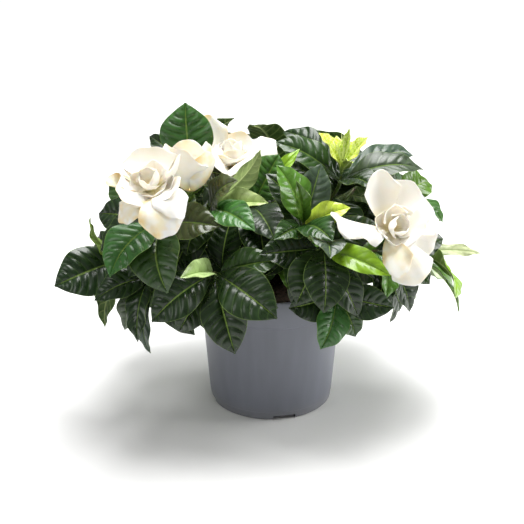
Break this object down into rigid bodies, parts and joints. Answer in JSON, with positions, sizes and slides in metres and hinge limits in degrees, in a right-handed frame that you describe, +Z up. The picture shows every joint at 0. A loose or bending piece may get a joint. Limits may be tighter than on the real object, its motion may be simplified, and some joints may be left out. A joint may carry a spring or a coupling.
{
  "type": "potted gardenia",
  "caption": "Potted gardenia: a bushy evergreen plant with glossy leaves and open creamy-white flowers in a tapered plastic nursery pot.",
  "frame": {"origin": "middle of the pot's flat underside", "axes": "+Z up out of the pot, -Y towards the side that most of the flowers face, +X to the right as seen from that side"},
  "size_m": [0.3727, 0.2825, 0.2703],
  "materials": {
    "pot_plastic": "satin dark grey moulded polypropylene",
    "potting_mix": "loose dark brown peat and bark",
    "bark": "matt grey-brown bark",
    "leaf_green": "glossy dark green",
    "leaf_young": "satin yellow-green",
    "calyx_green": "satin mid green",
    "petal_cream": "velvety creamy white"
  },
  "bodies": {
    "root": {"flower_back_heart_petals": "petal_cream", "flower_back_inner_petals": "petal_cream", "flower_back_outer_petals": "petal_cream", "flower_back_stalk": "calyx_green", "flower_half_open_outer_petals": "petal_cream", "flower_half_open_stalk": "calyx_green", "flower_left_heart_petals": "petal_cream", "flower_left_inner_petals": "petal_cream", "flower_left_outer_petals": "petal_cream", "flower_left_stalk": "calyx_green", "flower_right_heart_petals": "petal_cream", "flower_right_inner_petals": "petal_cream", "flower_right_outer_petals": "petal_cream", "flower_right_stalk": "calyx_green", "pot": "pot_plastic", "potting_mix": "potting_mix", "shoot_back_left": "leaf_green", "shoot_back_left_low": "leaf_green", "shoot_back_middle": "leaf_green", "shoot_back_middle_low": "leaf_green", "shoot_back_right": "leaf_green", "shoot_back_right_low": "leaf_green", "shoot_back_top": "leaf_green", "shoot_far_left": "leaf_green", "shoot_front_left_low": "leaf_green", "shoot_front_right": "leaf_green", "shoot_front_right_low": "leaf_green", "shoot_left_low": "leaf_green", "shoot_left_middle": "leaf_green", "shoot_middle": "leaf_green", "shoot_middle_left": "leaf_green", "shoot_middle_right": "leaf_green", "shoot_right_back": "leaf_green", "shoot_right_low": "leaf_green", "shoot_right_side": "leaf_green", "shoot_top_left": "leaf_green", "shoot_top_right": "leaf_green", "woody_stem_back_left": "bark", "woody_stem_back_right": "bark", "woody_stem_front_left": "bark", "woody_stem_front_right": "bark", "young_shoot_tip": "leaf_young"}
  },
  "joints": []
}
